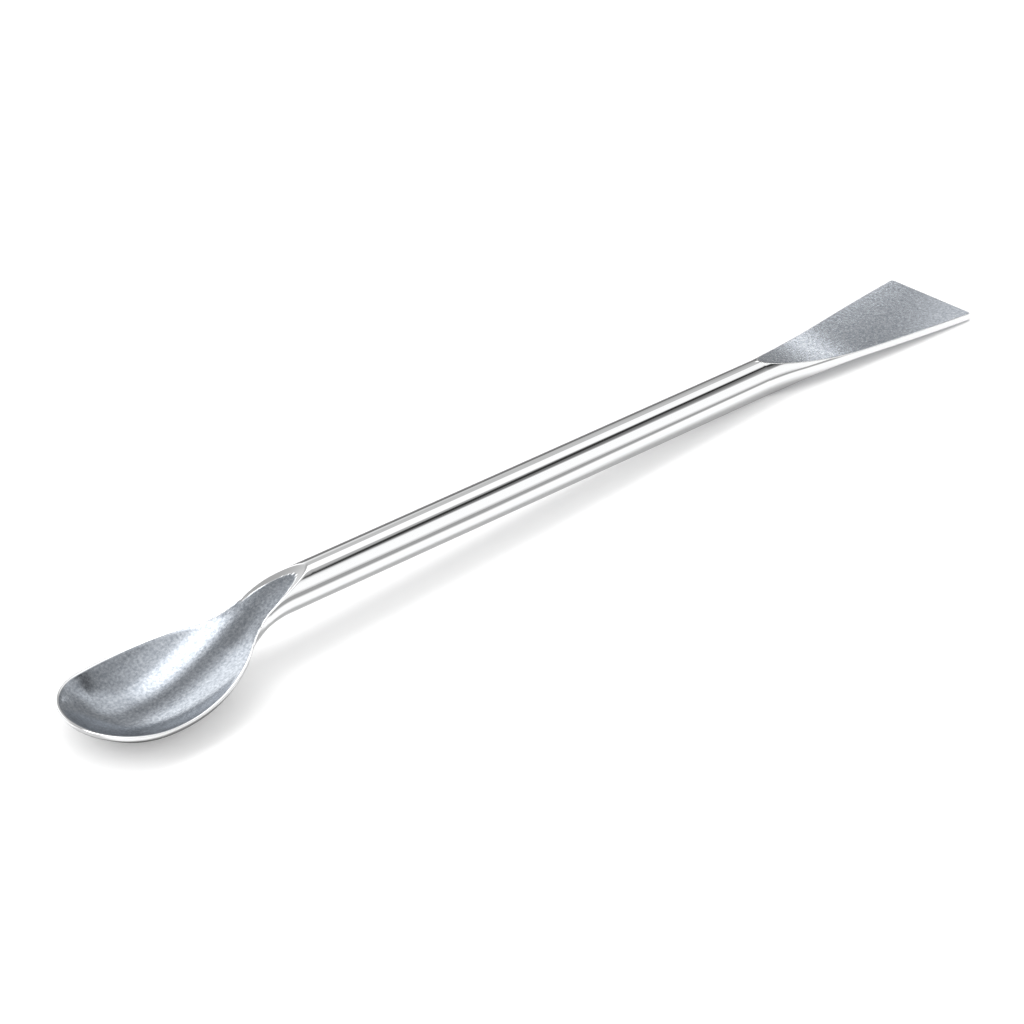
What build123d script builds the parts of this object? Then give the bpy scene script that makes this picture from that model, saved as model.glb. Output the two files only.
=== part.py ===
from build123d import *
from math import *
import os

# Lab spatula, forged in one piece: a round rod with a spoon bowl at one end and a flared flat blade at the other.
# Lengths in millimetres, angles in degrees. The piece is made about the rod's axis, along X, then laid at rest.

# Rod
overall_length = 180.0
rod_diameter = 6.0

# Blade
blade_end_width = 16.5
blade_thickness = 1.2
blade_lift = 0.2
blade_flat_length = 22.0
blade_ramp_length = 20.3
blade_flare_length = 38.6
blade_side_bulge = 0.33
blade_edge_flatness = 2.0
blade_corner_radius = 0.9
blade_edge_rounding = 0.25

# Spoon bowl and neck, seen from above
bowl_width = 20.1
bowl_tip_tuck = 0.12
bowl_side_radius = 28.0
neck_width = 6.1
neck_side_radius = 8.0
neck_clearance = 0.3

# Spoon bowl and neck, seen from the side: distances are from the tip, heights from the rod's axis
ramp_length = 41.9
ramp_angle = 14.0
neck_to_tip = 32.4
neck_height = -0.2
neck_angle = 29.0
shoulder_to_tip = 26.3
shoulder_height = -3.15
shoulder_angle = 14.5
level_to_tip = 9.0
rim_height_at_tip = -5.7
neck_thickness = 4.0
underside_start = 38.0

# Hollow of the bowl
hollow_cross_radius = 14.5
hollow_length = 39.6
bowl_wall = 1.0
rim_land = 0.4
rim_rounding = 0.2
hollow_rounding = 0.3

# Sizes that follow from the ones above
rod_radius = rod_diameter / 2
tip_x = -overall_length / 2
end_x = overall_length / 2
flat_x = end_x - blade_flat_length
blade_ramp_x = flat_x - blade_ramp_length
flare_x = end_x - blade_flare_length
blade_top = blade_lift + blade_thickness / 2
blade_bottom = blade_lift - blade_thickness / 2
ramp_x = tip_x + ramp_length
neck_x = tip_x + neck_to_tip
shoulder_x = tip_x + shoulder_to_tip
level_x = tip_x + level_to_tip
underside_x = tip_x + underside_start
hollow_start_x = tip_x + hollow_length
half_neck = neck_width / 2

# The bowl's outline is a tip circle, a side circle and a neck circle, each tangent to the next
bowl_tip_radius = bowl_width / 2 - bowl_tip_tuck
side_y = bowl_width / 2 - bowl_side_radius
tip_centre_x = tip_x + bowl_tip_radius
tip_reach = bowl_side_radius - bowl_tip_radius
widest_x = tip_centre_x + sqrt(tip_reach ** 2 - side_y ** 2)
tip_join_x = tip_centre_x - (widest_x - tip_centre_x) * bowl_tip_radius / tip_reach


def neck_circle(half_width):
    """Centre of the neck circle that leaves the given half width, and the point where it meets the side circle."""
    centre_y = half_width + neck_side_radius
    reach = bowl_side_radius + neck_side_radius
    centre_x = widest_x + sqrt(reach ** 2 - (centre_y - side_y) ** 2)
    share = bowl_side_radius / reach
    return centre_x, centre_y, widest_x + (centre_x - widest_x) * share, side_y + (centre_y - side_y) * share


def smooth_curve(x, x0, z0, slope0, x1, z1, slope1):
    """Height at x on the cubic curve between two points with a slope at each."""
    run = x1 - x0
    t = (x - x0) / run
    from_start = (2 * t ** 3 - 3 * t ** 2 + 1) * z0 + (t ** 3 - 2 * t ** 2 + t) * run * slope0
    return from_start + (3 * t ** 2 - 2 * t ** 3) * z1 + (t ** 3 - t ** 2) * run * slope1


def rim_height(x):
    """Height of the spoon end's upper edge: a ramp down from the rod, a steeper neck and a nearly level rim."""
    ramp = tan(radians(ramp_angle))
    neck = tan(radians(neck_angle))
    shoulder = tan(radians(shoulder_angle))
    if x > ramp_x:
        return rod_radius + (x - ramp_x) * ramp
    if x > neck_x:
        return smooth_curve(x, neck_x, neck_height, neck, ramp_x, rod_radius, ramp)
    if x > shoulder_x:
        return smooth_curve(x, shoulder_x, shoulder_height, shoulder, neck_x, neck_height, neck)
    if x > level_x:
        return smooth_curve(x, level_x, rim_height_at_tip, 0.0, shoulder_x, shoulder_height, shoulder)
    return rim_height_at_tip


def outline_half_width(x):
    """Half width of the spoon end seen from above."""
    centre_x, centre_y, join_x, join_y = neck_circle(half_neck)
    if x <= tip_join_x:
        return sqrt(max(bowl_tip_radius ** 2 - (x - tip_centre_x) ** 2, 0.0))
    if x <= join_x:
        return side_y + sqrt(bowl_side_radius ** 2 - (x - widest_x) ** 2)
    if x <= centre_x:
        return centre_y - sqrt(neck_side_radius ** 2 - (x - centre_x) ** 2)
    return half_neck


def hollow_width_squared(x):
    """Square of the hollow's half width at the rim, which is below zero past the hollow's two ends."""
    if x <= tip_join_x:
        return (bowl_tip_radius - rim_land) ** 2 - (x - tip_centre_x) ** 2
    if x <= neck_x:
        return (outline_half_width(x) - rim_land) ** 2
    return (outline_half_width(neck_x) - rim_land) ** 2 * (hollow_start_x - x) / (hollow_start_x - neck_x)


def hollow_bottom(x):
    """Height of the hollow's lowest line."""
    return rim_height(x) - hollow_cross_radius + sqrt(hollow_cross_radius ** 2 - hollow_width_squared(x))


def underside(x):
    """Height of the spoon end's lowest line: one wall under the hollow, and thicker towards the neck."""
    if x <= widest_x:
        return hollow_bottom(x) - bowl_wall
    if x >= underside_x:
        return -rod_radius
    slope = tan(radians(neck_angle))
    neck_bottom = neck_height - neck_thickness
    if x > neck_x:
        return smooth_curve(x, neck_x, neck_bottom, slope, underside_x, -rod_radius, 0.0)
    deepest = hollow_bottom(widest_x) - bowl_wall
    deepest_slope = (hollow_bottom(widest_x) - hollow_bottom(widest_x - 0.5)) / 0.5
    return smooth_curve(x, widest_x, deepest, deepest_slope, neck_x, neck_bottom, slope)


def underside_radius(x):
    """Radius of the round underside across the spoon end: the rod's own, then widening to the bowl's."""
    if x >= underside_x:
        return rod_radius
    if x > neck_x:
        return half_neck + (rod_radius - half_neck) * (x - neck_x) / (underside_x - neck_x)
    if x <= widest_x:
        return hollow_cross_radius
    join_x = neck_circle(half_neck)[2]
    width = outline_half_width(x)
    edge = rim_edge * min(max((join_x - x) / (join_x - shoulder_x), 0.0), 1.0)
    drop = rim_height(x) - underside(x) - edge
    if drop >= width:
        return width
    return (width ** 2 + drop ** 2) / (2 * drop)


# Height of the bowl's upright outer edge where the bowl is widest
widest_rise = hollow_cross_radius - sqrt(hollow_cross_radius ** 2 - (bowl_width / 2) ** 2)
rim_edge = rim_height(widest_x) - underside(widest_x) - widest_rise


def round_section(x, radius, bottom):
    """Circle across the rod's axis, with its lowest point at the given height."""
    return Plane(origin=(x, 0, bottom + radius), x_dir=(0, 0, 1), z_dir=(1, 0, 0)) * Circle(radius)


def stations(start, stop, step):
    """Places along the axis, evenly spaced and close to the given step."""
    count = ceil((stop - start) / step)
    return [start + (stop - start) * k / count for k in range(count + 1)]


def upright_slab(curve, level):
    """Solid between a curve in the plane of symmetry and a level, wider than the whole piece."""
    start = curve @ 0
    finish = curve @ 1
    sides = Polyline((finish.X, 0, finish.Z), (finish.X, 0, level), (start.X, 0, level), (start.X, 0, start.Z))
    depth = bowl_width + blade_end_width
    return extrude(Pos(0, depth / 2, 0) * make_face(curve + sides), amount=depth, dir=(0, -1, 0))


def spoon_blank():
    """Underside of the spoon end, from the rod's round to the bowl's, as one smooth run of circles."""
    places = stations(tip_x - rod_radius, underside_x + rod_radius, 2.2)
    return loft([round_section(x, underside_radius(x), underside(x)) for x in places])


def above_rim():
    """Everything above the ramp, the neck and the rim."""
    places = stations(tip_x - rod_radius, ramp_x + rod_radius, 1.8)
    return upright_slab(Spline([Vector(x, 0, rim_height(x)) for x in places]), 4 * hollow_cross_radius)


def outline_prism():
    """Upright prism with the bowl's outline, a little wider than the neck and the rod."""
    centre_x, centre_y, join_x, join_y = neck_circle(half_neck + neck_clearance)
    middle_x = (tip_join_x + join_x) / 2
    turn = (atan2(join_y - centre_y, join_x - centre_x) - pi / 2) / 2
    turned_x = centre_x + neck_side_radius * cos(turn)
    turned_y = centre_y + neck_side_radius * sin(turn)
    tip_turn = bowl_tip_radius * sqrt(0.5)
    side = centre_y - neck_side_radius
    tip = ThreePointArc((tip_x, 0), (tip_centre_x - tip_turn, tip_turn), (tip_join_x, outline_half_width(tip_join_x)))
    flank = ThreePointArc(tip @ 1, (middle_x, outline_half_width(middle_x)), (join_x, join_y))
    neck = ThreePointArc(flank @ 1, (turned_x, turned_y), (centre_x, side))
    blade = Line(neck @ 1, (end_x + rod_radius, blade_end_width))
    half = Curve() + [tip, flank, neck, blade]
    whole = half + mirror(half, Plane.XZ) + Line(blade @ 1, (end_x + rod_radius, -blade_end_width))
    return Pos(0, 0, -2 * hollow_cross_radius) * extrude(make_face(whole), amount=4 * hollow_cross_radius)


def hollow():
    """The hollow, as a bent round bar that runs out at the tip and on the ramp."""
    places = stations(tip_x + rim_land - 4.0, hollow_start_x + 3.0, 2.0)
    return loft([round_section(x, hollow_cross_radius, hollow_bottom(x)) for x in places])


def blade_section(x):
    """Flattened round across the blade: the rod's own circle at first, then wider with flatter sides."""
    along = max((x - flare_x) / blade_flare_length, 0.0)
    bulge = 4 * blade_side_bulge * along * (1 - along)
    half_width = rod_radius + (blade_end_width / 2 - rod_radius) * along + bulge
    half_height = rod_radius * (1 + (blade_edge_flatness - 1) * along)
    return Plane(origin=(x, 0, 0), x_dir=(0, 1, 0), z_dir=(1, 0, 0)) * Ellipse(half_width, half_height)


def blade_cut(side, surface):
    """Everything beyond one face of the blade: an arc down from the rod that runs flat into the blade."""
    drop = rod_radius - side * surface
    radius = (blade_ramp_length ** 2 + drop ** 2) / (2 * drop)
    reach = blade_ramp_length + rod_radius
    rise = radius - sqrt(radius ** 2 - reach ** 2)
    halfway = asin(reach / radius) / 2
    middle = (flat_x - radius * sin(halfway), 0, surface + side * radius * (1 - cos(halfway)))
    arc = ThreePointArc((flat_x - reach, 0, surface + side * rise), middle, (flat_x, 0, surface))
    return upright_slab(arc + Line((flat_x, 0, surface), (end_x + rod_radius, 0, surface)), side * 4 * rod_radius)


def blade_blank():
    """Flared blade before its faces are made: the rod's round spread out sideways."""
    places = [blade_ramp_x - rod_radius, flare_x - rod_radius] + stations(flare_x, end_x, 5.5)
    return loft([blade_section(x) for x in places])


def rod():
    """Plain round rod between the two forged ends."""
    start_x = underside_x + rod_radius
    plane = Plane(origin=(start_x, 0, 0), x_dir=(0, 0, 1), z_dir=(1, 0, 0))
    length = blade_ramp_x - rod_radius - start_x
    return plane * Cylinder(rod_radius, length, align=(Align.CENTER, Align.CENTER, Align.MIN))


def rest_angle():
    """Angle at which the bowl's underside and the blade's end edge both touch a table."""
    low = 0.0
    high = 10.0
    places = stations(tip_x, neck_x, 0.2)
    for step in range(40):
        angle = radians((low + high) / 2)
        bowl = min(underside(x) * cos(angle) - x * sin(angle) for x in places)
        edge = blade_bottom * cos(angle) - end_x * sin(angle)
        if bowl < edge:
            low = degrees(angle)
        else:
            high = degrees(angle)
    return (low + high) / 2


def on_blade_face(point):
    """Whether a point lies on the upper or lower face of the blade, ramps included."""
    for side, surface in ((1, blade_top), (-1, blade_bottom)):
        drop = rod_radius - side * surface
        radius = (blade_ramp_length ** 2 + drop ** 2) / (2 * drop)
        back = min(max(flat_x - point.X, 0.0), radius)
        level = surface + side * (radius - sqrt(radius ** 2 - back ** 2))
        if abs(point.Z - level) < 0.02:
            return True
    return False


def blade_corners(shape):
    """The upright edges at the blade's two end corners."""
    found = []
    for edge in shape.edges():
        middle = edge @ 0.5
        if middle.X > end_x - 0.01 and abs(middle.Y) > 0.45 * blade_end_width and not on_blade_face(middle):
            found.append(edge)
    return found


def blade_rims(shape):
    """The edges around the blade's two faces, without the line where each ramp meets its flat."""
    found = []
    for edge in shape.edges():
        middle = edge @ 0.5
        across = abs(middle.X - flat_x) < 0.01 and abs(middle.Y) < 0.01
        if middle.X > blade_ramp_x - rod_radius and on_blade_face(middle) and not across:
            found.append(edge)
    return found


def hollow_rim(shape):
    """The edge where the hollow meets the rim, the neck and the ramp."""
    found = []
    for edge in shape.edges():
        points = [edge @ share for share in (0.1, 0.35, 0.6, 0.85)]
        gaps = [abs(p.Y ** 2 - hollow_width_squared(p.X)) / (abs(p.Y) + 1.0) for p in points]
        if max(p.X for p in points) < ramp_x and max(gaps) < 0.1:
            found.append(edge)
    return found


def lower_rim(shape):
    """The lower edges of the bowl's upright rim."""
    found = []
    for edge in shape.edges():
        middle = edge @ 0.5
        outside = abs(abs(middle.Y) - outline_half_width(middle.X)) < 0.05
        at_tip = abs(middle.X - tip_x) < 0.01
        low = middle.Z < rim_height(middle.X) - 0.6 * rim_edge
        if middle.X < neck_x and (outside or at_tip) and low:
            found.append(edge)
    return found


def straight_piece():
    """The whole piece, made about the rod's axis."""
    shape = spoon_blank() + rod() + blade_blank()
    shape = shape - above_rim() - blade_cut(1, blade_top) - blade_cut(-1, blade_bottom)
    shape = shape & outline_prism()
    shape = fillet(blade_corners(shape), blade_corner_radius)
    shape = fillet(blade_rims(shape), blade_edge_rounding)
    shape = shape - hollow()
    shape = fillet(hollow_rim(shape), hollow_rounding)
    return fillet(lower_rim(shape), rim_rounding)


def laid_at_rest(shape):
    """The piece on a table, on its bowl and its blade's end, with the middle of its footprint at the origin."""
    turned = Rot(0, rest_angle(), 0) * shape
    box = turned.bounding_box()
    return Pos(-(box.min.X + box.max.X) / 2, 0, -box.min.Z) * turned


spatula = laid_at_rest(straight_piece())
os.makedirs("parts", exist_ok=True)
export_step(spatula, "parts/spatula.step")
print("spatula", spatula.is_valid, len(spatula.faces()), "faces", round(spatula.volume, 1), "mm3", spatula.bounding_box())
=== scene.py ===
from math import ceil, cos, pi, radians, sin, sqrt, tan

import bpy
import numpy as np
from mathutils import Matrix, Vector


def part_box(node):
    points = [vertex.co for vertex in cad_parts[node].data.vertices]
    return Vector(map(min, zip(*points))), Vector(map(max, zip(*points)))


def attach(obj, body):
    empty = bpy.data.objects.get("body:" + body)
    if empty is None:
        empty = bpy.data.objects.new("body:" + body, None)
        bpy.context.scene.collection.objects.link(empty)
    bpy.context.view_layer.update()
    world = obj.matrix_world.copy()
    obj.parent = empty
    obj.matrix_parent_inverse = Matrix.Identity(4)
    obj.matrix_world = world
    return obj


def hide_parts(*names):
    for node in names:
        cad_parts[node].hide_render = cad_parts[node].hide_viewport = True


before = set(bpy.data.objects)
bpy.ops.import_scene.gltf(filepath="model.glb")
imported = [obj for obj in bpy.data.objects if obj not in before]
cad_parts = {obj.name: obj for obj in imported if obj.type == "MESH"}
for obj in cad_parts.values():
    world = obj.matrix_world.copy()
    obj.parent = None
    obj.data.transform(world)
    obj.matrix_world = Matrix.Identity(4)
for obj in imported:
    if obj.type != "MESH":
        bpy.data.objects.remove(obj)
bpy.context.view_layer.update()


# The spatula. One steel bar, forged and ground at both ends: a spoon bowl with its neck at one end,
# a flared flat blade at the other, and the round rod left between them. The rod, the rims and the
# underside are polished, and the hollow, the ramps and the blade's faces are blasted matt.

# Sizes in millimetres and degrees, about the rod's axis, along X
overall_length = 180.0
rod_radius = 3.0
blade_end_width = 16.5
blade_top = 0.8
blade_bottom = -0.4
blade_flat_length = 22.0
blade_ramp_length = 20.3
blade_flare_length = 38.6
blade_side_bulge = 0.33
blade_edge_flatness = 2.0
blade_corner_radius = 0.55
bowl_width = 20.1
bowl_tip_tuck = 0.12
bowl_side_radius = 28.0
half_neck = 3.05
neck_side_radius = 8.0
neck_clearance = 0.3
ramp_length = 41.9
ramp_angle = 14.0
neck_to_tip = 32.4
neck_height = -0.2
neck_angle = 29.0
shoulder_to_tip = 26.3
shoulder_height = -3.15
shoulder_angle = 14.5
level_to_tip = 9.0
rim_height_at_tip = -5.7
neck_thickness = 4.0
underside_start = 38.0
hollow_cross_radius = 14.5
hollow_length = 39.6
bowl_wall = 1.0
rim_land = 0.4

tip_x = -overall_length / 2
end_x = overall_length / 2
flat_x = end_x - blade_flat_length
flare_x = end_x - blade_flare_length
ramp_x = tip_x + ramp_length
neck_x = tip_x + neck_to_tip
shoulder_x = tip_x + shoulder_to_tip
level_x = tip_x + level_to_tip
underside_x = tip_x + underside_start
hollow_start_x = tip_x + hollow_length
bowl_tip_radius = bowl_width / 2 - bowl_tip_tuck
side_y = bowl_width / 2 - bowl_side_radius
tip_centre_x = tip_x + bowl_tip_radius
tip_reach = bowl_side_radius - bowl_tip_radius
widest_x = tip_centre_x + sqrt(tip_reach ** 2 - side_y ** 2)
tip_join_x = tip_centre_x - (widest_x - tip_centre_x) * bowl_tip_radius / tip_reach
neck_centre_y = half_neck + neck_side_radius
neck_reach = bowl_side_radius + neck_side_radius
neck_centre_x = widest_x + sqrt(neck_reach ** 2 - (neck_centre_y - side_y) ** 2)
join_x = widest_x + (neck_centre_x - widest_x) * bowl_side_radius / neck_reach


def eased_step(low, high, value):
    """Goes from 0 to 1 between low and high, level at both ends: 3t^2 - 2t^3."""
    t = np.clip((value - low) / (high - low), 0.0, 1.0)
    return t * t * (3.0 - 2.0 * t)


def smooth_curve(x, x0, z0, slope0, x1, z1, slope1):
    """Cubic between two points with a slope at each, in Hermite's form."""
    run = x1 - x0
    t = (x - x0) / run
    from_start = (2 * t ** 3 - 3 * t ** 2 + 1) * z0 + (t ** 3 - 2 * t ** 2 + t) * run * slope0
    return from_start + (3 * t ** 2 - 2 * t ** 3) * z1 + (t ** 3 - t ** 2) * run * slope1


def rim_height(x):
    """Height of the spoon's upper edge: level at the tip, three cubics up the neck, a straight ramp."""
    ramp, neck, shoulder = (tan(radians(a)) for a in (ramp_angle, neck_angle, shoulder_angle))
    height = np.full_like(x, rim_height_at_tip)
    rise = smooth_curve(x, level_x, rim_height_at_tip, 0.0, shoulder_x, shoulder_height, shoulder)
    height = np.where(x > level_x, rise, height)
    rise = smooth_curve(x, shoulder_x, shoulder_height, shoulder, neck_x, neck_height, neck)
    height = np.where(x > shoulder_x, rise, height)
    rise = smooth_curve(x, neck_x, neck_height, neck, ramp_x, rod_radius, ramp)
    height = np.where(x > neck_x, rise, height)
    return np.where(x > ramp_x, rod_radius + (x - ramp_x) * ramp, height)


def outline_half_width(x):
    """Half width of the bowl seen from above: a tip circle, a side circle and a hollow neck circle,
    each tangent to the next."""
    tip = np.sqrt(np.maximum(bowl_tip_radius ** 2 - (x - tip_centre_x) ** 2, 0.0))
    side = side_y + np.sqrt(np.maximum(bowl_side_radius ** 2 - (x - widest_x) ** 2, 0.0))
    neck = neck_centre_y - np.sqrt(np.maximum(neck_side_radius ** 2 - (x - neck_centre_x) ** 2, 0.0))
    width = np.where(x <= tip_join_x, tip, side)
    width = np.where(x > join_x, neck, width)
    return np.where(x > neck_centre_x, half_neck, width)


def hollow_width_squared(x):
    """Square of the hollow's half width at the rim: the outline less the land, fading out along the
    ramp and past the tip."""
    tip = (bowl_tip_radius - rim_land) ** 2 - (x - tip_centre_x) ** 2
    middle = (outline_half_width(x) - rim_land) ** 2
    at_neck = (outline_half_width(np.array(neck_x)) - rim_land) ** 2
    fade = at_neck * (hollow_start_x - x) / (hollow_start_x - neck_x)
    return np.where(x <= tip_join_x, tip, np.where(x <= neck_x, middle, fade))


def hollow_bottom(x):
    """Height of the hollow's lowest line: a circle across that meets the rim at the hollow's half width."""
    return rim_height(x) - hollow_cross_radius + np.sqrt(hollow_cross_radius ** 2 - hollow_width_squared(x))


def underside(x):
    """Height of the spoon's lowest line: one wall under the hollow, then two cubics up to the rod."""
    slope = tan(radians(neck_angle))
    neck_bottom = neck_height - neck_thickness
    short_way = 0.5
    at_widest, before = hollow_bottom(np.array([widest_x, widest_x - short_way]))
    first_slope = (at_widest - before) / short_way
    under_bowl = hollow_bottom(np.minimum(x, widest_x)) - bowl_wall
    rise = smooth_curve(x, widest_x, at_widest - bowl_wall, first_slope, neck_x, neck_bottom, slope)
    height = np.where(x > widest_x, rise, under_bowl)
    rise = smooth_curve(x, neck_x, neck_bottom, slope, underside_x, -rod_radius, 0.0)
    height = np.where(x > neck_x, rise, height)
    return np.where(x >= underside_x, -rod_radius, height)


def underside_radius(x):
    """Radius of the round underside across the spoon: the circle through the outline at the rim's
    lower edge."""
    least_drop = 0.01
    widest_rise = hollow_cross_radius - sqrt(hollow_cross_radius ** 2 - (bowl_width / 2) ** 2)
    at_widest = np.array(widest_x)
    rim_edge = rim_height(at_widest) - underside(at_widest) - widest_rise
    width = outline_half_width(x)
    edge = rim_edge * np.clip((join_x - x) / (join_x - shoulder_x), 0.0, 1.0)
    drop = rim_height(x) - underside(x) - edge
    through = (width ** 2 + drop ** 2) / (2 * np.maximum(drop, least_drop))
    radius = np.where(drop >= width, width, through)
    radius = np.where(x <= widest_x, hollow_cross_radius, radius)
    widening = half_neck + (rod_radius - half_neck) * (x - neck_x) / (underside_x - neck_x)
    radius = np.where(x > neck_x, widening, radius)
    return np.where(x >= underside_x, rod_radius, radius)


def round_bar(x):
    """Half width, half height and centre height of the forged bar's oval section before its faces
    are ground. The blade's flare starts softly: (t + e)^2 / 4e while t is under e."""
    past_the_end = 1.05
    ease = 0.1
    along = np.minimum((x - flare_x) / blade_flare_length, past_the_end)
    along = np.where(along > ease, along, np.maximum(along + ease, 0.0) ** 2 / (4 * ease))
    bulge = 4 * blade_side_bulge * along * (1 - along)
    half_width = rod_radius + (blade_end_width / 2 - rod_radius) * along + bulge
    half_height = rod_radius * (1 + (blade_edge_flatness - 1) * along)
    spoon = x < underside_x
    radius = underside_radius(x)
    centre = np.where(spoon, underside(x) + radius, 0.0)
    return np.where(spoon, radius, half_width), np.where(spoon, radius, half_height), centre


def upper_face(x, y):
    """Height of the ground upper face: at the spoon the lower of the rim and the hollow, eased into each
    other where they meet, and at the blade an arc into a level."""
    ease = 0.3
    rim = rim_height(x)
    cross = hollow_cross_radius ** 2
    hollow = rim + np.sqrt(cross - hollow_width_squared(x)) - np.sqrt(np.maximum(cross - y * y, 1.0))
    overlap = np.maximum(ease - np.abs(rim - hollow), 0.0)
    spoon = np.minimum(rim, hollow) - overlap ** 2 / (4 * ease)
    return np.where(x < 0, spoon, blade_face(x, blade_top, 1))


def blade_face(x, level, side):
    """Height of a face of the blade: an arc from the rod that runs tangent into a level."""
    drop = rod_radius - side * level
    radius = (blade_ramp_length ** 2 + drop ** 2) / (2 * drop)
    back = np.clip(flat_x - x, 0.0, radius - 1.0)
    return level + side * (radius - np.sqrt(radius ** 2 - back ** 2))


def outline_distance(x, y):
    """Distance outside the bowl's outline, from the circle that each stretch belongs to."""
    y = np.abs(y)
    tip = np.hypot(x - tip_centre_x, y) - bowl_tip_radius
    side = np.hypot(x - widest_x, y - side_y) - bowl_side_radius
    neck = neck_side_radius - np.hypot(x - neck_centre_x, y - neck_centre_y - neck_clearance)
    distance = np.where(x <= tip_join_x, tip, side)
    distance = np.where(x > join_x, neck, distance)
    return np.where(x > neck_centre_x, y - half_neck - neck_clearance, distance)


def eased_corner(a, b, radius):
    """The greater of two distances, with the corner between the two surfaces rounded to a radius."""
    inside = np.minimum(np.maximum(a, b), -radius)
    return inside + np.hypot(np.maximum(a + radius, 0.0), np.maximum(b + radius, 0.0))


def side_distance(x, y, z):
    """Distance outside the bar's round sides, the bowl's upright rim and the blade's end. The bar's part
    is its oval's excess over 1, divided by how steeply that grows."""
    bowl_lower_rounding = 0.42
    a, b, centre = round_bar(x)
    reach = np.sqrt((y / a) ** 2 + ((z - centre) / b) ** 2)
    steep = np.sqrt((y / a ** 2) ** 2 + ((z - centre) / b ** 2) ** 2) / np.maximum(reach, 1e-6)
    bar = (reach - 1.0) / np.maximum(steep, 1e-3)
    spoon = eased_corner(bar, outline_distance(x, y), bowl_lower_rounding)
    blade = eased_corner(bar, x - end_x, blade_corner_radius)
    return np.where(x < 0, spoon, blade)


def skin_distance(x, y, z):
    """Distance outside the finished piece: the greatest of the distances outside its sides, its upper face
    and the blade's lower face, each edge between them rounded."""
    rod_lip, spoon_lip, blade_lip = 0.05, 0.09, 0.07
    far_inside = -50.0
    top = upper_face(x, y)
    step = 0.05
    slope = (upper_face(x + step, y) - upper_face(x - step, y)) / (2 * step)
    above = (z - top) / np.sqrt(1 + slope ** 2)
    at_spoon = eased_step(40.0, 56.0, -x)
    at_blade = eased_step(flat_x - 20.0, flat_x - 10.0, x)
    lip = rod_lip + spoon_lip * at_spoon + blade_lip * at_blade
    skin = eased_corner(side_distance(x, y, z), above, lip)
    lower = blade_face(x, blade_bottom, -1)
    below = np.where(x < 0, far_inside, (lower - z) / np.sqrt(1 + slope ** 2))
    return eased_corner(skin, below, np.where(x < 0, 0.01, 1.5 * lip))


def crowded(count, first, length):
    """Shares from 0 to 1 of a run, close together at its start: sinh(kv)/sinh(k), where the first step
    sets k."""
    trial = np.linspace(0.02, 9.0, 400)
    wanted = np.clip(first * count / np.maximum(length, 1e-6), 0.004, 0.999)
    k = np.interp(-wanted, -trial / np.sinh(trial), trial)[:, None]
    v = np.linspace(0.0, 1.0, count + 1)[None, :]
    return np.sinh(k * v) / np.sinh(k)


def rows_along():
    """Where each row of points starts on the centre line and ends on the outline: fanned round the tip,
    square across the length, and fanned round the blade's corner."""
    tip_fan_start = 2.0
    end_fan_length = 9.0
    end_fan_reach = 8.0
    join_turn = np.arccos((tip_centre_x - tip_join_x) / bowl_tip_radius)
    turn = np.linspace(0.0, join_turn, 49)[:-1]
    tip_rows = np.stack([tip_x + tip_fan_start + (tip_join_x - tip_x - tip_fan_start) * turn / join_turn,
                         tip_centre_x - bowl_tip_radius * np.cos(turn), bowl_tip_radius * np.sin(turn)])
    fan_x = end_x - end_fan_length
    stretches = [
        (tip_join_x, ramp_x + 1.0, 0.4),
        (ramp_x + 1.0, flat_x - 22.0, 1.6),
        (flat_x - 22.0, flat_x, 0.4),
        (flat_x, fan_x, 0.6),
    ]
    x = np.concatenate([np.linspace(a, b, ceil((b - a) / s) + 1)[:-1] for a, b, s in stretches])
    half = np.where(x < underside_x, np.minimum(outline_half_width(x), round_bar(x)[0]), round_bar(x)[0])
    square_rows = np.stack([x, x, half])
    side = np.linspace(fan_x, end_x - blade_corner_radius, 60)
    turn = np.linspace(0.0, pi / 2, 40)[1:]
    corner_y = round_bar(np.array([end_x - blade_corner_radius]))[0][0] - blade_corner_radius
    path_x = np.concatenate([side, end_x - blade_corner_radius * (1 - np.sin(turn)), [end_x]])
    path_y = np.concatenate([round_bar(side)[0], corner_y + blade_corner_radius * np.cos(turn), [0.0]])
    run = np.concatenate([[0.0], np.cumsum(np.hypot(np.diff(path_x), np.diff(path_y)))])
    place = np.linspace(0.0, run[-1], 81)
    end_rows = np.stack([fan_x + end_fan_reach * place / run[-1],
                         np.interp(place, run, path_x), np.interp(place, run, path_y)])
    return np.concatenate([tip_rows, square_rows, end_rows], axis=1), tip_rows.shape[1], end_rows.shape[1]


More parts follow.
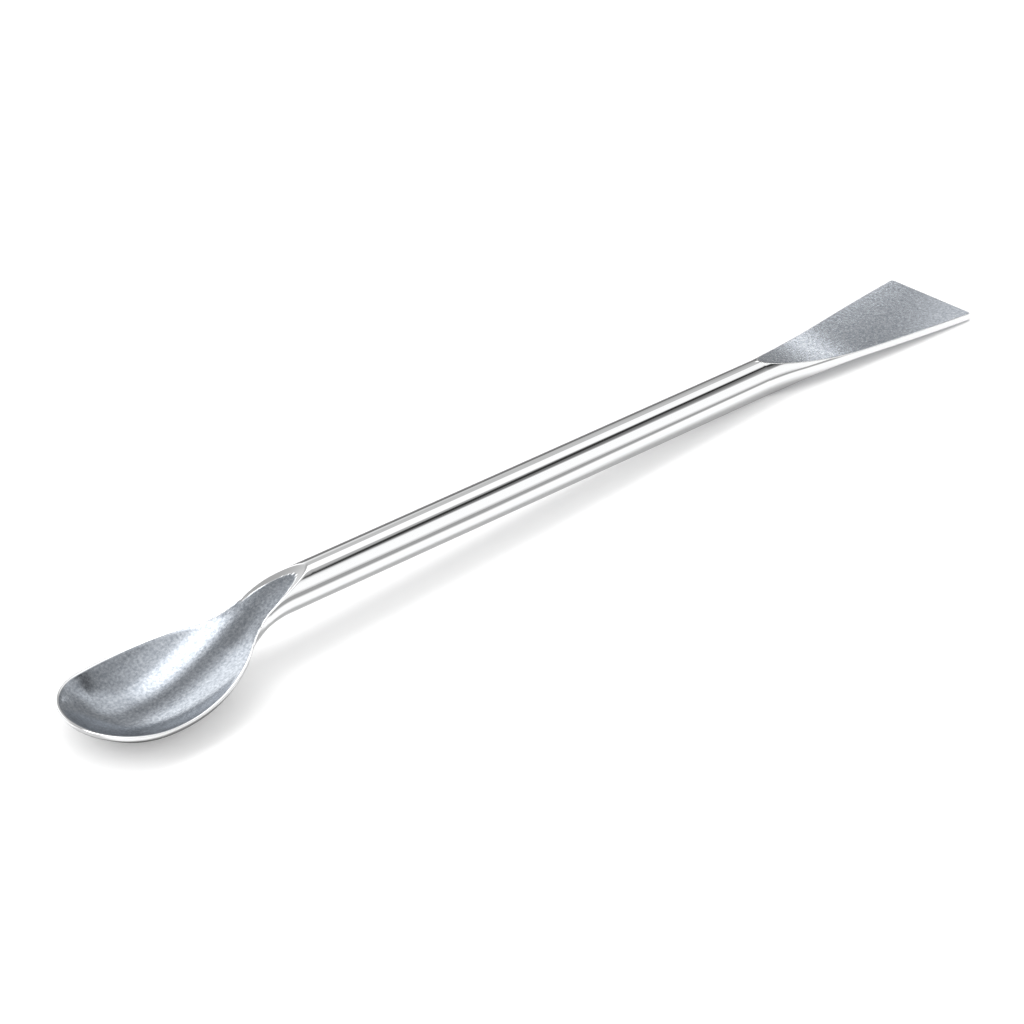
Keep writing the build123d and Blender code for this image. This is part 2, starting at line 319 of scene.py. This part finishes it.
def half_skin():
    """Points of the piece's +Y half as a grid: a row for each place along the outline, and in each row
    the under face from the middle out, the side, and the upper face back in. Laid out on the sharp shape,
    then moved a few times along the slope of the skin distance towards the rounded one."""
    blade_start_x = 30.0
    under_columns, side_columns, top_columns = 26, 12, 44
    (middle_x, outer_x, outer_y), tips, ends = rows_along()
    a, b, centre = round_bar(outer_x)
    limit = np.where(outer_x < underside_x, np.minimum(outline_half_width(outer_x), a), a)
    limit = np.maximum(limit, 1e-6)
    fanned = np.arange(len(outer_x)) >= len(outer_x) - ends
    nearly_round = radians(87.7)
    top = upper_face(outer_x, np.zeros_like(outer_x) + 50.0)
    top = np.where(outer_x < 0, rim_height(outer_x), top)
    upper_turn = np.arcsin(np.clip((top - centre) / b, -1.0, sin(nearly_round)))
    low = blade_face(outer_x, blade_bottom, -1)
    blade_turn = np.arcsin(np.clip(low / b, -sin(nearly_round), 1.0))
    spoon_turn = -np.arccos(np.minimum(limit / a, 1.0))
    swing = -nearly_round * eased_step(underside_x, blade_start_x, outer_x)
    lower_turn = np.where(outer_x < blade_start_x, swing, blade_turn)
    lower_turn = np.where(outer_x < underside_x, spoon_turn, lower_turn)
    under_turn = pi / 2 + lower_turn
    share_low = np.where(fanned, 1.0, np.minimum(limit, a * np.cos(lower_turn)) / limit)
    share_top = np.where(fanned, 1.0, np.minimum(limit, a * np.cos(upper_turn)) / limit)

    near = crowded(under_columns, 0.06, a * under_turn)[:, ::-1]
    turn = under_turn[:, None] * (1.0 - near)
    under_share = np.sin(turn) / np.maximum(np.sin(under_turn), 1e-6)[:, None] * share_low[:, None]

    height = b * (np.sin(upper_turn) - np.sin(lower_turn))
    reach = np.where(limit / a < 0.97, height, a * (upper_turn - lower_turn))
    half = crowded(side_columns, 0.05, reach / 2)
    both = np.concatenate([half / 2, 1.0 - half[:, -2::-1] / 2], axis=1)
    level_low = np.sin(lower_turn)[:, None]
    level_high = np.sin(upper_turn)[:, None]
    by_height = np.arcsin(np.clip(level_low + (level_high - level_low) * both, -1.0, 1.0))
    by_turn = lower_turn[:, None] + (upper_turn - lower_turn)[:, None] * both
    by = eased_step(0.93, 1.0, limit / a)[:, None]
    side_turn = by_height * (1 - by) + by_turn * by
    side_share = np.minimum(limit[:, None], a[:, None] * np.cos(side_turn)) / limit[:, None]
    side_share = np.where(fanned[:, None], 1.0, side_share)

    inward = crowded(top_columns, 0.05, limit * share_top)
    top_share = share_top[:, None] * (1.0 - inward)

    share = np.concatenate([under_share, side_share[:, 1:], top_share[:, 1:]], axis=1)
    x = middle_x[:, None] + (outer_x - middle_x)[:, None] * share
    y = outer_y[:, None] * share
    wide, high, mid = round_bar(x)
    bulge = high * np.sqrt(np.maximum(1.0 - (y / wide) ** 2, 0.0))
    under = np.where(x < 0, mid - bulge, np.maximum(mid - bulge, blade_face(x, blade_bottom, -1)))
    over = np.minimum(upper_face(x, y), mid + bulge)
    side = centre[:, None] + b[:, None] * np.sin(side_turn)
    n_under, n_side = under_share.shape[1], side_share.shape[1] - 1
    z = np.concatenate([under[:, :n_under], side[:, 1:], over[:, n_under + n_side:]], axis=1)

    h = 1e-3
    longest_step = 0.2
    least_slope = 0.2
    for _ in range(5):
        d = skin_distance(x, y, z)
        gx = (skin_distance(x + h, y, z) - skin_distance(x - h, y, z)) / (2 * h)
        gy = (skin_distance(x, y + h, z) - skin_distance(x, y - h, z)) / (2 * h)
        gz = (skin_distance(x, y, z + h) - skin_distance(x, y, z - h)) / (2 * h)
        step = d / np.maximum(gx ** 2 + gy ** 2 + gz ** 2, least_slope)
        step = np.clip(step, -longest_step, longest_step)
        x, y, z = x - step * gx, y - step * gy, z - step * gz
    for border in (y[:, 0], y[:, -1], y[0], y[-1]):
        border[:] = 0.0
    return x, y, z


def blasted_share(x, y, z):
    """1 on the blasted faces and 0 on the polished steel, changing across the patch's edge over a tenth
    of a millimetre. The edge keeps a margin in from the rim, narrow on the blade and wider round the bowl.
    On the spoon's ramp it is a rounded front, set back by y^2 up to a limit, a little to one side."""
    face_reach = 0.12
    blade_margin, spoon_margin, bowl_margin = 0.05, 0.11, 0.26
    front_x = -50.2
    front_shift = 0.35
    front_limit = 7.3
    half_change = 0.06
    inside = -side_distance(x, y, z)
    on_top = np.abs(z - upper_face(x, y)) < face_reach
    on_back = (np.abs(z - blade_face(x, blade_bottom, -1)) < face_reach) & (x > 0)
    margin = blade_margin + spoon_margin * eased_step(30.0, 20.0, x)
    margin = margin + bowl_margin * eased_step(-neck_x, -shoulder_x, -x)
    y = y + front_shift
    front = (front_x - x - np.minimum(y * y, front_limit)) / np.sqrt(1 + 4 * y * y)
    inside = np.where(x < 0, np.minimum(inside - margin, front), inside - margin)
    return eased_step(-half_change, half_change, inside) * (on_top | on_back)


def mirrored_mesh(name, x, y, z, masks):
    """Mesh from a half grid and its mirror image, which share the points on the plane between them. Each
    mask has its values for the half grid and for its mirror image."""
    rows, columns = x.shape
    near = np.arange(rows * columns).reshape(rows, columns)
    far = near.copy()
    far[1:-1, 1:-1] = rows * columns + np.arange((rows - 2) * (columns - 2)).reshape(rows - 2, columns - 2)
    points = np.stack([x, y, z], axis=-1)
    inner = points[1:-1, 1:-1] * np.array([1.0, -1.0, 1.0])
    points = np.concatenate([points.reshape(-1, 3), inner.reshape(-1, 3)])

    def quads(grid):
        return np.stack([grid[:-1, :-1], grid[1:, :-1], grid[1:, 1:], grid[:-1, 1:]], axis=-1).reshape(-1, 4)

    faces = np.concatenate([quads(near)[:, ::-1], quads(far)])
    mesh = bpy.data.meshes.new(name)
    mesh.from_pydata(points, [], faces)
    for label, (values, mirrored) in masks.items():
        layer = mesh.attributes.new(label, "FLOAT", "POINT")
        shares = np.concatenate([values.ravel(), mirrored[1:-1, 1:-1].ravel()])
        layer.data.foreach_set("value", shares.astype(np.float32))
    mesh.polygons.foreach_set("use_smooth", np.ones(len(mesh.polygons), dtype=bool))
    mesh.validate()
    mesh.update()
    return mesh


half_x, half_y, half_z = half_skin()
blasted = blasted_share(half_x, half_y, half_z), blasted_share(half_x, -half_y, half_z)

# At rest the bowl's underside and the blade's end edge touch the table, which tips the rod by the rest angle
box_low, box_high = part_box("spatula")
rest_turn = radians(3.3684)
rest_x = (half_x * cos(rest_turn) + half_z * sin(rest_turn)) / 1000
rest_z = (half_z * cos(rest_turn) - half_x * sin(rest_turn)) / 1000
rest_x = rest_x + box_high[0] - rest_x.max()
rest_z = rest_z + box_low[2] - rest_z.min()
spatula_mesh = mirrored_mesh("steel_spatula", rest_x, half_y / 1000, rest_z, {"blasted": blasted})
steel_spatula = bpy.data.objects.new("steel_spatula", spatula_mesh)
bpy.context.scene.collection.objects.link(steel_spatula)



def worked(tree, operation, *terms):
    """A Math node of the tree, fed with sockets or plain numbers, and its output."""
    node = tree.nodes.new("ShaderNodeMath")
    node.operation = operation
    for socket, term in zip(node.inputs, terms):
        if isinstance(term, (int, float)):
            socket.default_value = term
        else:
            tree.links.new(term, socket)
    return node.outputs[0]


# The steel. Bright where it is polished, and darker, rougher and speckled where it is blasted
polished_colour = (0.93, 0.935, 0.94, 1)
blasted_dark = (0.22, 0.245, 0.28, 1)
blasted_light = (0.52, 0.55, 0.59, 1)
polished_roughness, blasted_roughness = 0.04, 0.19
grain_height = 0.000008
blasted_depth = 8.0
steel = bpy.data.materials.new("polished_and_blasted_steel")
steel.use_nodes = True
nodes, links = steel.node_tree.nodes, steel.node_tree.links
nodes.clear()
out = nodes.new("ShaderNodeOutputMaterial")
shader = nodes.new("ShaderNodeBsdfPrincipled")
shader.inputs["Metallic"].default_value = 1.0
links.new(shader.outputs["BSDF"], out.inputs["Surface"])
place = nodes.new("ShaderNodeTexCoord")
mask = nodes.new("ShaderNodeAttribute")
mask.attribute_name = "blasted"

grain = nodes.new("ShaderNodeTexNoise")
grain.inputs["Scale"].default_value = 2300.0
grain.inputs["Detail"].default_value = 3.0
grain.inputs["Roughness"].default_value = 0.6
links.new(place.outputs["Object"], grain.inputs["Vector"])

speckle = nodes.new("ShaderNodeMapRange")
speckle.inputs["From Min"].default_value = 0.24
speckle.inputs["From Max"].default_value = 0.76
links.new(grain.outputs["Fac"], speckle.inputs["Value"])
matt_colour = nodes.new("ShaderNodeMix")
matt_colour.data_type = "RGBA"
matt_colour.inputs["A"].default_value = blasted_dark
matt_colour.inputs["B"].default_value = blasted_light
links.new(speckle.outputs["Result"], matt_colour.inputs["Factor"])
colour = nodes.new("ShaderNodeMix")
colour.data_type = "RGBA"
colour.inputs["A"].default_value = polished_colour
links.new(mask.outputs["Fac"], colour.inputs["Factor"])
links.new(matt_colour.outputs["Result"], colour.inputs["B"])
links.new(colour.outputs["Result"], shader.inputs["Base Color"])

rough = nodes.new("ShaderNodeMapRange")
rough.inputs["To Min"].default_value = polished_roughness
rough.inputs["To Max"].default_value = blasted_roughness
links.new(mask.outputs["Fac"], rough.inputs["Value"])
links.new(rough.outputs["Result"], shader.inputs["Roughness"])

# The blasted faces lie a few grain heights below the polished rims, and the grain stands on them
pits = nodes.new("ShaderNodeBump")
pits.inputs["Distance"].default_value = grain_height
sunk = worked(steel.node_tree, "SUBTRACT", grain.outputs["Fac"], blasted_depth)
sunk = worked(steel.node_tree, "MULTIPLY", sunk, mask.outputs["Fac"])
links.new(sunk, pits.inputs["Height"])
links.new(pits.outputs["Normal"], shader.inputs["Normal"])
steel_spatula.data.materials.append(steel)

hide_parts("spatula")
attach(steel_spatula, "root")


# The table. A plain white sheet under the spatula, which keeps its soft shadow. In reflections its colour
# is painted: grey right under the spatula as a painted shadow, and dark farther out on either side.
sheet_mesh = bpy.data.meshes.new("white_table")
sheet_mesh.from_pydata([(-3, -3, 0), (3, -3, 0), (3, 3, 0), (-3, 3, 0)], [], [(0, 1, 2, 3)])
white_table = bpy.data.objects.new("white_table", sheet_mesh)
bpy.context.scene.collection.objects.link(white_table)
paper = bpy.data.materials.new("white_paper")
paper.use_nodes = True
nodes, links = paper.node_tree.nodes, paper.node_tree.links
nodes.clear()
out = nodes.new("ShaderNodeOutputMaterial")
matt = nodes.new("ShaderNodeBsdfDiffuse")
glow = nodes.new("ShaderNodeEmission")
rays = nodes.new("ShaderNodeLightPath")
spot = nodes.new("ShaderNodeTexCoord")
spot_parts = nodes.new("ShaderNodeSeparateXYZ")
links.new(spot.outputs["Object"], spot_parts.inputs[0])

tree = paper.node_tree
# Painted shade for reflections only: the sheet's grey across, darker right under the spatula and far out
painted_sheet_shade = nodes.new("ShaderNodeValToRGB")
painted_shade_place = nodes.new("ShaderNodeMapRange")
painted_shade_reach = 50
painted_shade_place.inputs["From Min"].default_value = -painted_shade_reach / 1000
painted_shade_place.inputs["From Max"].default_value = painted_shade_reach / 1000
links.new(spot_parts.outputs["Y"], painted_shade_place.inputs["Value"])
links.new(painted_shade_place.outputs["Result"], painted_sheet_shade.inputs["Fac"])
# Each stop is a distance across in millimetres and a grey
stops = [(-30, 0.2), (-18, 0.8), (-7, 0.8), (-4, 0.45), (4, 0.5), (7, 0.8), (12, 0.8), (19, 0.12)]
while len(painted_sheet_shade.color_ramp.elements) < len(stops):
    painted_sheet_shade.color_ramp.elements.new(0.5)
for stop, (from_line, value) in zip(painted_sheet_shade.color_ramp.elements, stops):
    stop.position = (from_line + painted_shade_reach) / (2 * painted_shade_reach)
    stop.color = (value, value, value, 1)
# Painted shadow: reflections also see the sheet darker in a round spot under the bowl, as its shadow
bowl_place = 0.076
bowl_run = worked(tree, "POWER", worked(tree, "ADD", spot_parts.outputs["X"], bowl_place), 2.0)
bowl_side = worked(tree, "POWER", spot_parts.outputs["Y"], 2.0)
from_bowl = worked(tree, "SQRT", worked(tree, "ADD", bowl_run, bowl_side))
shade = nodes.new("ShaderNodeMapRange")
shade.interpolation_type = "SMOOTHSTEP"
for label, number in (("From Min", 0.0105), ("From Max", 0.0145), ("To Min", 0.3), ("To Max", 1.0)):
    shade.inputs[label].default_value = number
links.new(from_bowl, shade.inputs["Value"])
in_steel = rays.outputs["Is Glossy Ray"]
# Only reflections see the painted shade and painted shadow; all other rays see the sheet's plain white
tone = nodes.new("ShaderNodeMix")
tone.data_type = "RGBA"
tone.inputs["A"].default_value = (0.8, 0.8, 0.8, 1)
links.new(in_steel, tone.inputs["Factor"])
links.new(worked(tree, "MULTIPLY", painted_sheet_shade.outputs["Color"], shade.outputs["Result"]), tone.inputs["B"])
links.new(tone.outputs["Result"], matt.inputs["Color"])
glow.inputs["Color"].default_value = (1, 1, 1, 1)
glow_in_view, glow_in_steel = 0.22, 0.12
seen_through = worked(tree, "MAXIMUM", rays.outputs["Is Camera Ray"], rays.outputs["Is Transmission Ray"])
seen_directly = worked(tree, "MULTIPLY", seen_through, glow_in_view)
# The sheet's glow in reflections is dimmed by the same painted shadow
mirrored = worked(tree, "MULTIPLY", in_steel, shade.outputs["Result"])
mirrored = worked(tree, "MULTIPLY", mirrored, glow_in_steel)
links.new(worked(tree, "ADD", seen_directly, mirrored), glow.inputs["Strength"])
both = nodes.new("ShaderNodeAddShader")
links.new(matt.outputs[0], both.inputs[0])
links.new(glow.outputs[0], both.inputs[1])
links.new(both.outputs[0], out.inputs["Surface"])
white_table.data.materials.append(paper)


# The light tent. White cloth over the table, with a bright panel overhead, paler ones on both long sides,
# a dark seam that slants down towards the blade's end, and four dark lower corners. The polished steel
# shows all of these. The camera sees plain white.
panel = bpy.data.node_groups.new("cloth_panel", "ShaderNodeTree")
for label in ("Across", "Centre", "Half Width", "Edge"):
    panel.interface.new_socket(label, in_out="INPUT", socket_type="NodeSocketFloat")
panel.interface.new_socket("Share", in_out="OUTPUT", socket_type="NodeSocketFloat")
given = panel.nodes.new("NodeGroupInput")
result = panel.nodes.new("NodeGroupOutput")
off_centre = worked(panel, "SUBTRACT", given.outputs["Across"], given.outputs["Centre"])
off_centre = worked(panel, "ABSOLUTE", off_centre)
fade = panel.nodes.new("ShaderNodeMapRange")
fade.interpolation_type = "SMOOTHSTEP"
fade.inputs["To Min"].default_value = 1.0
fade.inputs["To Max"].default_value = 0.0
panel.links.new(off_centre, fade.inputs["Value"])
for operation, label in (("SUBTRACT", "From Min"), ("ADD", "From Max")):
    limit = worked(panel, operation, given.outputs["Half Width"], given.outputs["Edge"])
    panel.links.new(limit, fade.inputs[label])
panel.links.new(fade.outputs["Result"], result.inputs["Share"])

tent = bpy.data.worlds.new("light_tent")
bpy.context.scene.world = tent
tent.use_nodes = True
tree = tent.node_tree
tree.nodes.clear()
where = tree.nodes.new("ShaderNodeTexCoord")
parts = tree.nodes.new("ShaderNodeSeparateXYZ")
tree.links.new(where.outputs["Generated"], parts.inputs[0])
east, north, height = parts.outputs
# A direction is read as degrees from straight up, split into its share along the rod and across it
from_top = worked(tree, "MULTIPLY", worked(tree, "ARCCOSINE", height), 180 / pi)
level = worked(tree, "ADD", worked(tree, "POWER", east, 2.0), worked(tree, "POWER", north, 2.0))
level = worked(tree, "MAXIMUM", worked(tree, "SQRT", level), 1e-4)
along = worked(tree, "DIVIDE", worked(tree, "MULTIPLY", east, from_top), level)
across = worked(tree, "DIVIDE", worked(tree, "MULTIPLY", north, from_top), level)
aside = worked(tree, "ABSOLUTE", along)
flank = worked(tree, "ABSOLUTE", across)
# The seam lies where the share across is 2.5 times the share along, counted from 45.5 degrees
slant = worked(tree, "MULTIPLY", worked(tree, "SUBTRACT", along, 45.5), 2.5)
slanted = worked(tree, "SUBTRACT", across, slant)


def banded(value, centre, half_width, edge):
    """Share of a soft-edged band of the tent at one of its measures."""
    node = tree.nodes.new("ShaderNodeGroup")
    node.node_tree = panel
    tree.links.new(value, node.inputs["Across"])
    for label, number in (("Centre", centre), ("Half Width", half_width), ("Edge", edge)):
        node.inputs[label].default_value = number
    return node.outputs["Share"]


def patch(strength, first, second):
    """Strength of a patch where two bands cross."""
    return worked(tree, "MULTIPLY", worked(tree, "MULTIPLY", first, second), strength)


everywhere = banded(from_top, 0.0, 400.0, 1.0)
corners = patch(1.0, banded(aside, 80.0, 34.0, 6.0), banded(flank, 95.0, 36.0, 6.0))
plain_cloth, darkest_cloth = 0.52, 0.05
cloth_light = worked(tree, "ADD", 0.0, plain_cloth)
for strength, first, second in [
    (3.0, banded(along, -30.0, 52.0, 28.0), banded(across, 16.0, 10.0, 6.0)),
    (1.0, banded(along, -30.0, 52.0, 28.0), banded(across, 0.0, 20.0, 12.0)),
    (0.45, banded(along, 63.0, 12.0, 3.0), banded(across, -8.0, 18.0, 5.0)),
    (0.6, banded(along, 17.0, 21.0, 5.0), banded(across, 72.0, 30.0, 8.0)),
    (1.3, banded(along, 0.0, 46.0, 8.0), banded(across, 95.0, 42.0, 8.0)),
    (0.8, everywhere, banded(across, -60.0, 32.0, 4.0)),
    (0.75, banded(aside, 46.0, 12.0, 6.0), banded(across, 14.0, 15.5, 2.0)),
    (0.18, banded(aside, 46.0, 7.0, 3.0), banded(across, 46.0, 16.0, 3.0)),
    (-0.40, banded(along, 45.0, 4.0, 1.5), banded(slanted, -9.0, 5.5, 1.5)),
    (-0.30, banded(along, 45.0, 4.0, 1.5), banded(slanted, -15.0, 12.0, 9.0)),
    (-0.75, corners, banded(from_top, 97.0, 11.0, 8.0)),
]:
    cloth_light = worked(tree, "ADD", cloth_light, patch(strength, first, second))
cloth_light = worked(tree, "MAXIMUM", cloth_light, darkest_cloth)
lit = tree.nodes.new("ShaderNodeBackground")
tree.links.new(cloth_light, lit.inputs["Strength"])
plain = tree.nodes.new("ShaderNodeBackground")
plain.inputs["Color"].default_value = (1, 1, 1, 1)
rays = tree.nodes.new("ShaderNodeLightPath")
choice = tree.nodes.new("ShaderNodeMixShader")
seen_through = worked(tree, "MAXIMUM", rays.outputs["Is Camera Ray"], rays.outputs["Is Transmission Ray"])
tree.links.new(seen_through, choice.inputs["Fac"])
tree.links.new(lit.outputs[0], choice.inputs[1])
tree.links.new(plain.outputs[0], choice.inputs[2])
out = tree.nodes.new("ShaderNodeOutputWorld")
tree.links.new(choice.outputs[0], out.inputs["Surface"])


# Two cards. They hang upright behind the spatula and beyond the blade's end, a bright strip and a paler
# sheet of card, and only reflections see them.
card_y = 83


def hung_card(name, left, right, low, high, edge, strength):
    """Upright card parallel to the rod, from its four edges in millimetres, fading out at each edge."""
    corners = [(left, card_y, low), (right, card_y, low), (right, card_y, high), (left, card_y, high)]
    mesh = bpy.data.meshes.new(name)
    mesh.from_pydata([tuple(c / 1000 for c in corner) for corner in corners], [], [(0, 1, 2, 3)])
    card = bpy.data.objects.new(name, mesh)
    bpy.context.scene.collection.objects.link(card)
    card.visible_camera = card.visible_diffuse = card.visible_shadow = card.visible_transmission = False
    finish = bpy.data.materials.new(name)
    finish.use_nodes = True
    tree = finish.node_tree
    tree.nodes.clear()
    place = tree.nodes.new("ShaderNodeTexCoord")
    parts = tree.nodes.new("ShaderNodeSeparateXYZ")
    tree.links.new(place.outputs["Object"], parts.inputs[0])
    shares = []
    for output, start, stop in ((parts.outputs["X"], left, right), (parts.outputs["Z"], low, high)):
        node = tree.nodes.new("ShaderNodeGroup")
        node.node_tree = panel
        tree.links.new(output, node.inputs["Across"])
        node.inputs["Centre"].default_value = (start + stop) / 2000
        node.inputs["Half Width"].default_value = (stop - start) / 2000 - edge / 1000
        node.inputs["Edge"].default_value = edge / 1000
        shares.append(node.outputs["Share"])
    light = tree.nodes.new("ShaderNodeEmission")
    light.inputs["Strength"].default_value = strength
    clear = tree.nodes.new("ShaderNodeBsdfTransparent")
    blend = tree.nodes.new("ShaderNodeMixShader")
    tree.links.new(worked(tree, "MULTIPLY", *shares), blend.inputs["Fac"])
    tree.links.new(clear.outputs[0], blend.inputs[1])
    tree.links.new(light.outputs[0], blend.inputs[2])
    end = tree.nodes.new("ShaderNodeOutputMaterial")
    tree.links.new(blend.outputs[0], end.inputs["Surface"])
    mesh.materials.append(finish)


hung_card("bright_card", 140.0, 200.0, 38.5, 51.0, 4.0, 6.4)
hung_card("pale_card", 193.0, 290.0, 42.0, 110.0, 9.0, 1.35)


# The camera. A long lens above the spoon's end and on the near side, with its place and turn fitted
# to the photograph. The picture keeps its plain tones.
camera_place = (-0.370925, -0.355716, 0.308976)
camera_data = bpy.data.cameras.new("camera")
camera_data.sensor_width = 36.0
camera_data.lens = 143.09
camera = bpy.data.objects.new("camera", camera_data)
bpy.context.scene.collection.objects.link(camera)
turn, drop = radians(45.7), radians(31.05)
right = Vector((cos(turn), -sin(turn), 0))
up = Vector((sin(turn) * sin(drop), cos(turn) * sin(drop), cos(drop)))
back = right.cross(up)
camera_turn = Matrix((right, up, back)).transposed().to_4x4()
camera.matrix_world = Matrix.Translation(camera_place) @ camera_turn
bpy.context.scene.camera = camera
bpy.context.scene.view_settings.view_transform = "Standard"
